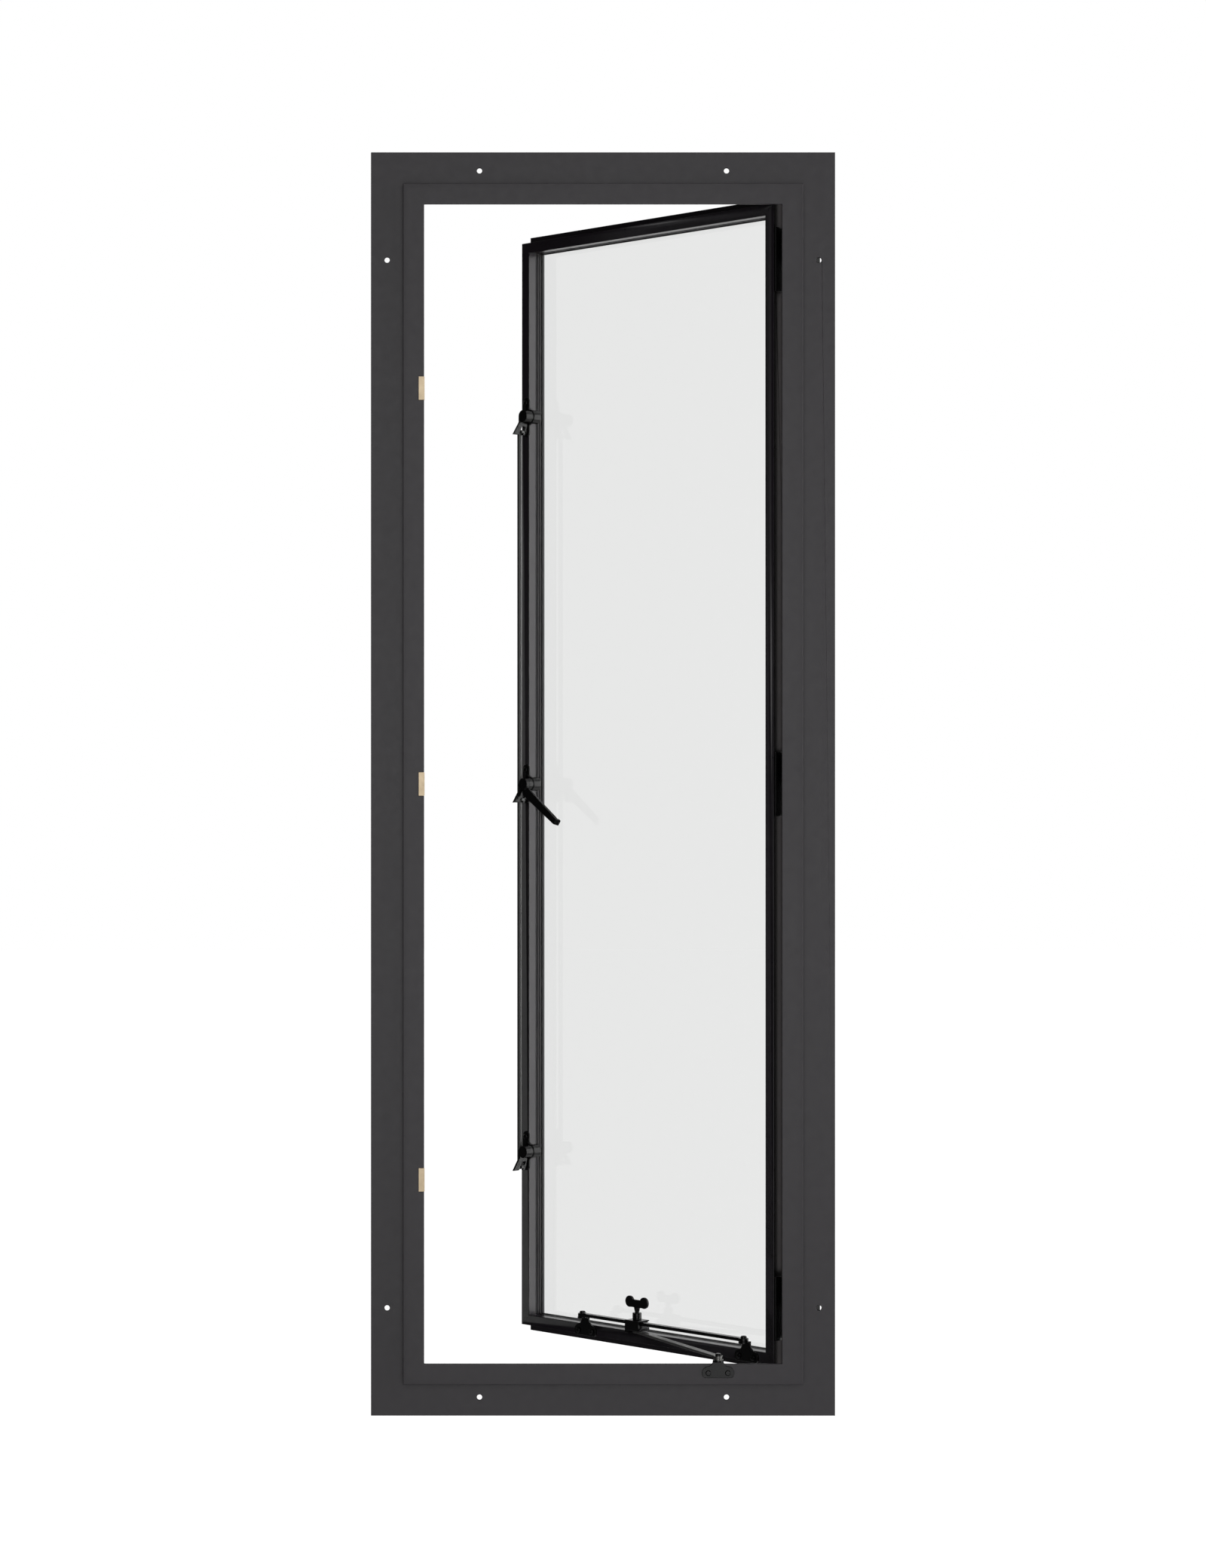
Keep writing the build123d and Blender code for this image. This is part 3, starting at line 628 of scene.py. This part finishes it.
FASTENER_SMOOTH = math.radians(35)
SCREW_RADIUS = 3.4 * MM
SCREW_RISE = 2.2 * MM
SCREW_SIDES = 32
SCREW_CROWN = SCREW_RISE * 0.75
SCREW_CROWN_STEPS = 5
RECESS_SIZE = (SCREW_RADIUS * 1.15, SCREW_RADIUS * 0.24, SCREW_RISE * 0.8)


def round_blank(radius, height, sides):
    """A short round bar that stands on the XY plane."""
    deselect()
    bpy.ops.mesh.primitive_cylinder_add(
        vertices=sides, radius=radius, depth=height, location=(0, 0, height / 2)
    )
    apply_place()
    return bpy.context.object


def screw_master():
    """A pan head with a rounded crown and a cross recess, standing on the XY plane."""
    head = round_blank(SCREW_RADIUS, SCREW_RISE, SCREW_SIDES)
    crown = head.modifiers.new("crown", "BEVEL")
    crown.width = SCREW_CROWN
    crown.segments = SCREW_CROWN_STEPS
    crown.limit_method = "ANGLE"
    apply_all(head)
    for turn in (0, math.pi / 2):
        deselect()
        bpy.ops.mesh.primitive_cube_add(
            size=1, location=(0, 0, SCREW_RISE), rotation=(0, 0, turn)
        )
        blade = bpy.context.object
        blade.scale = RECESS_SIZE
        apply_place()
        cut = head.modifiers.new("recess", "BOOLEAN")
        cut.operation = "DIFFERENCE"
        cut.object = blade
        apply_all(head)
        bpy.data.objects.remove(blade)
    pick(head)
    bpy.ops.object.shade_smooth_by_angle(angle=FASTENER_SMOOTH)
    return head


STAY_STUDS = {"hinge": 42.9 * MM, "lock": 321.8 * MM}
STAY_STUD_DEPTH = 6.8 * MM
SCREW_ABOVE_FOOT = 6.0 * MM
HALF_SCREW_SPACING = 11.75 * MM
PLATE = 2.5 * MM
LOCK_SCREW_INSET = 10.0 * MM
LOCK_SCREW_OFFSET = 18.5 * MM
SIDES = {"left": -1, "right": 1}
ENDS = {"lower": -1, "upper": 1}


def screw_places():
    """Name, place and outward direction of each screw of the stay and of the locks."""
    indoors = -OUTDOORS
    low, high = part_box("stay_sill_bracket")
    sill_x = (low.x + high.x) / 2
    sill_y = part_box("frame_sill")[0].y - PLATE
    for name, side in SIDES.items():
        spot = (sill_x + side * HALF_SCREW_SPACING, sill_y, low.z + SCREW_ABOVE_FOOT)
        yield f"sill_screw_{name}", Vector(spot), indoors
    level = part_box("stay_bracket_hinge_side")[0].z - CENTRE_Z + SCREW_ABOVE_FOOT
    for end, u in STAY_STUDS.items():
        for name, side in SIDES.items():
            spot = on_sash(u + side * HALF_SCREW_SPACING, -PLATE, level)
            yield f"stay_{end}_screw_{name}", spot, SASH_TURN @ indoors
    lock_u = SASH_WIDTH - LOCK_SCREW_INSET
    for height in LEVELS:
        low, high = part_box(f"lock_housing_{height}")
        centre = (low.z + high.z) / 2 - CENTRE_Z
        for name, side in ENDS.items():
            spot = on_sash(lock_u, -PLATE, centre + side * LOCK_SCREW_OFFSET)
            yield f"lock_{height}_screw_{name}", spot, SASH_TURN @ indoors


FIRST_SCREW_TURN = 0.4
NEXT_SCREW_TURN = 1.3


def drive_screws():
    """Screws of the stay's brackets and of the lock bases, each turned its own way."""
    master = screw_master()
    for number, (name, spot, normal) in enumerate(screw_places()):
        turn = Matrix.Rotation(FIRST_SCREW_TURN + NEXT_SCREW_TURN * number, 4, "Z")
        twin = copy_piece(master, Matrix.Translation(spot) @ facing(normal) @ turn)
        keep(twin, name, MATERIALS["hardware_paint"])
    bpy.data.objects.remove(master)


CAP_RADIUS = 3.8 * MM
CAP_HEIGHT = 2.8 * MM
CAP_SIDES = 48
CAP_CROWN = 1.7 * MM
CAP_CROWN_STEPS = 7


def cap_master():
    """The domed head of a stud, standing on the XY plane."""
    cap = round_blank(CAP_RADIUS, CAP_HEIGHT, CAP_SIDES)
    select_faces(cap, lambda point: point.z > CAP_HEIGHT / 2)
    bpy.ops.mesh.bevel(offset=CAP_CROWN, segments=CAP_CROWN_STEPS, affect="EDGES")
    bpy.ops.object.mode_set(mode="OBJECT")
    bpy.ops.object.shade_smooth_by_angle(angle=FASTENER_SMOOTH)
    return cap


def cap_studs():
    """Domed heads on the two studs of the guide bar and on the stud of the sill bracket."""
    master = cap_master()
    bar_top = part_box("stay_guide_bar")[1].z
    spots = {
        f"stay_{end}_stud_cap": on_sash(u, -STAY_STUD_DEPTH, bar_top - CENTRE_Z)
        for end, u in STAY_STUDS.items()
    }
    low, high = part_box("stay_pivot_stud")
    arm_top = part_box("stay_arm")[1].z
    spots["sill_stud_cap"] = Vector(((low.x + high.x) / 2, (low.y + high.y) / 2, arm_top))
    for name, spot in spots.items():
        twin = copy_piece(master, Matrix.Translation(spot))
        keep(twin, name, MATERIALS["hardware_paint"])
    bpy.data.objects.remove(master)


# Room, lights and camera


WHITE = (1, 1, 1, 1)
FLOOR_COLOUR = (0.8, 0.8, 0.8, 1)
FLOOR_ROUGHNESS = 0.9
FLOOR_SIZE = 60
FLOOR_DROP = 0.9


def floor_material():
    """A pale matt surface that the camera sees white, also through glass."""
    material, tree, shader = new_material("floor")
    shader.inputs["Base Color"].default_value = FLOOR_COLOUR
    shader.inputs["Roughness"].default_value = FLOOR_ROUGHNESS
    shader.inputs["Specular IOR Level"].default_value = 0.0
    shader.inputs["Emission Color"].default_value = WHITE
    rays = tree.nodes.new("ShaderNodeLightPath")
    feed(tree, rays.outputs["Is Camera Ray"], shader.inputs["Emission Strength"])
    plain = tree.nodes.new("ShaderNodeEmission")
    switch_shader(tree, rays.outputs["Is Transmission Ray"], shader, plain)
    return material


def make_floor():
    """A pale floor, at the height that it has under such a window in a wall."""
    deselect()
    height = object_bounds()[0].z - FLOOR_DROP
    bpy.ops.mesh.primitive_plane_add(size=FLOOR_SIZE, location=(0, 0, height))
    floor = bpy.context.object
    floor.name = "floor"
    floor.data.materials.append(floor_material())


AMBIENT = 0.04
OUTDOORS_GAIN = 3.0
OUTDOORS_OFFSET = -1.2


def make_world():
    """White behind the window, also where gloss mirrors it, and a weak light from all round."""
    world = bpy.data.worlds.new("studio")
    bpy.context.scene.world = world
    world.use_nodes = True
    tree = world.node_tree
    back = tree.nodes["Background"]
    rays = tree.nodes.new("ShaderNodeLightPath").outputs
    seen = math_node(tree, "MAXIMUM", rays["Is Camera Ray"], rays["Is Transmission Ray"])
    place = tree.nodes.new("ShaderNodeTexCoord")
    split = tree.nodes.new("ShaderNodeSeparateXYZ")
    feed(tree, place.outputs["Generated"], split.inputs[0])
    outdoors = math_node(
        tree, "MULTIPLY_ADD", split.outputs["Y"], OUTDOORS_GAIN, OUTDOORS_OFFSET, clamp=True
    )
    mirrored = math_node(tree, "MULTIPLY", outdoors, rays["Is Glossy Ray"])
    white = math_node(tree, "MAXIMUM", seen, mirrored)
    glow = math_node(tree, "MULTIPLY", white, 1.0 - AMBIENT)
    back.inputs["Color"].default_value = WHITE
    feed(tree, math_node(tree, "ADD", glow, AMBIENT), back.inputs["Strength"])


# Each light's place from the middle of the window, its width and height, and its watts
LIGHTS = {
    "front": ((0, -4.6, 0), (3.2, 5.0), 126),
    "right": ((3.2, 0.2, 0), (3.6, 4.0), 150),
    "key": ((3.9, -1.9, 0.9), (1.0, 1.6), 30),
    "top": ((0.4, -0.4, 3.2), (2.0, 2.0), 12),
}


def make_lights():
    """Soft boxes behind the camera and to the right, a narrower key, and a weak light above."""
    middle = Vector((0, 0, CENTRE_Z))
    for name, ((x, y, rise), size, power) in LIGHTS.items():
        data = bpy.data.lights.new(name, "AREA")
        data.shape = "RECTANGLE"
        data.size, data.size_y = size
        data.energy = power
        lamp = bpy.data.objects.new(name, data)
        bpy.context.scene.collection.objects.link(lamp)
        spot = Vector((x, y, CENTRE_Z + rise))
        lamp.location = spot
        lamp.rotation_euler = (middle - spot).to_track_quat("-Z", "Y").to_euler()


def make_camera():
    """Looks straight at the middle of the window from indoors."""
    data = bpy.data.cameras.new("camera")
    data.lens = LENS
    data.sensor_width = SENSOR
    data.clip_end = CLIP_END
    camera = bpy.data.objects.new("camera", data)
    bpy.context.scene.collection.objects.link(camera)
    camera.location = (0, -CAMERA_DISTANCE, CENTRE_Z)
    camera.rotation_euler = (math.pi / 2, 0, 0)
    bpy.context.scene.camera = camera


paint_cad_nodes()
finish_cad_pieces()
drive_screws()
cap_studs()
make_floor()
make_world()
make_lights()
make_camera()
bpy.context.scene.view_settings.view_transform = "Standard"
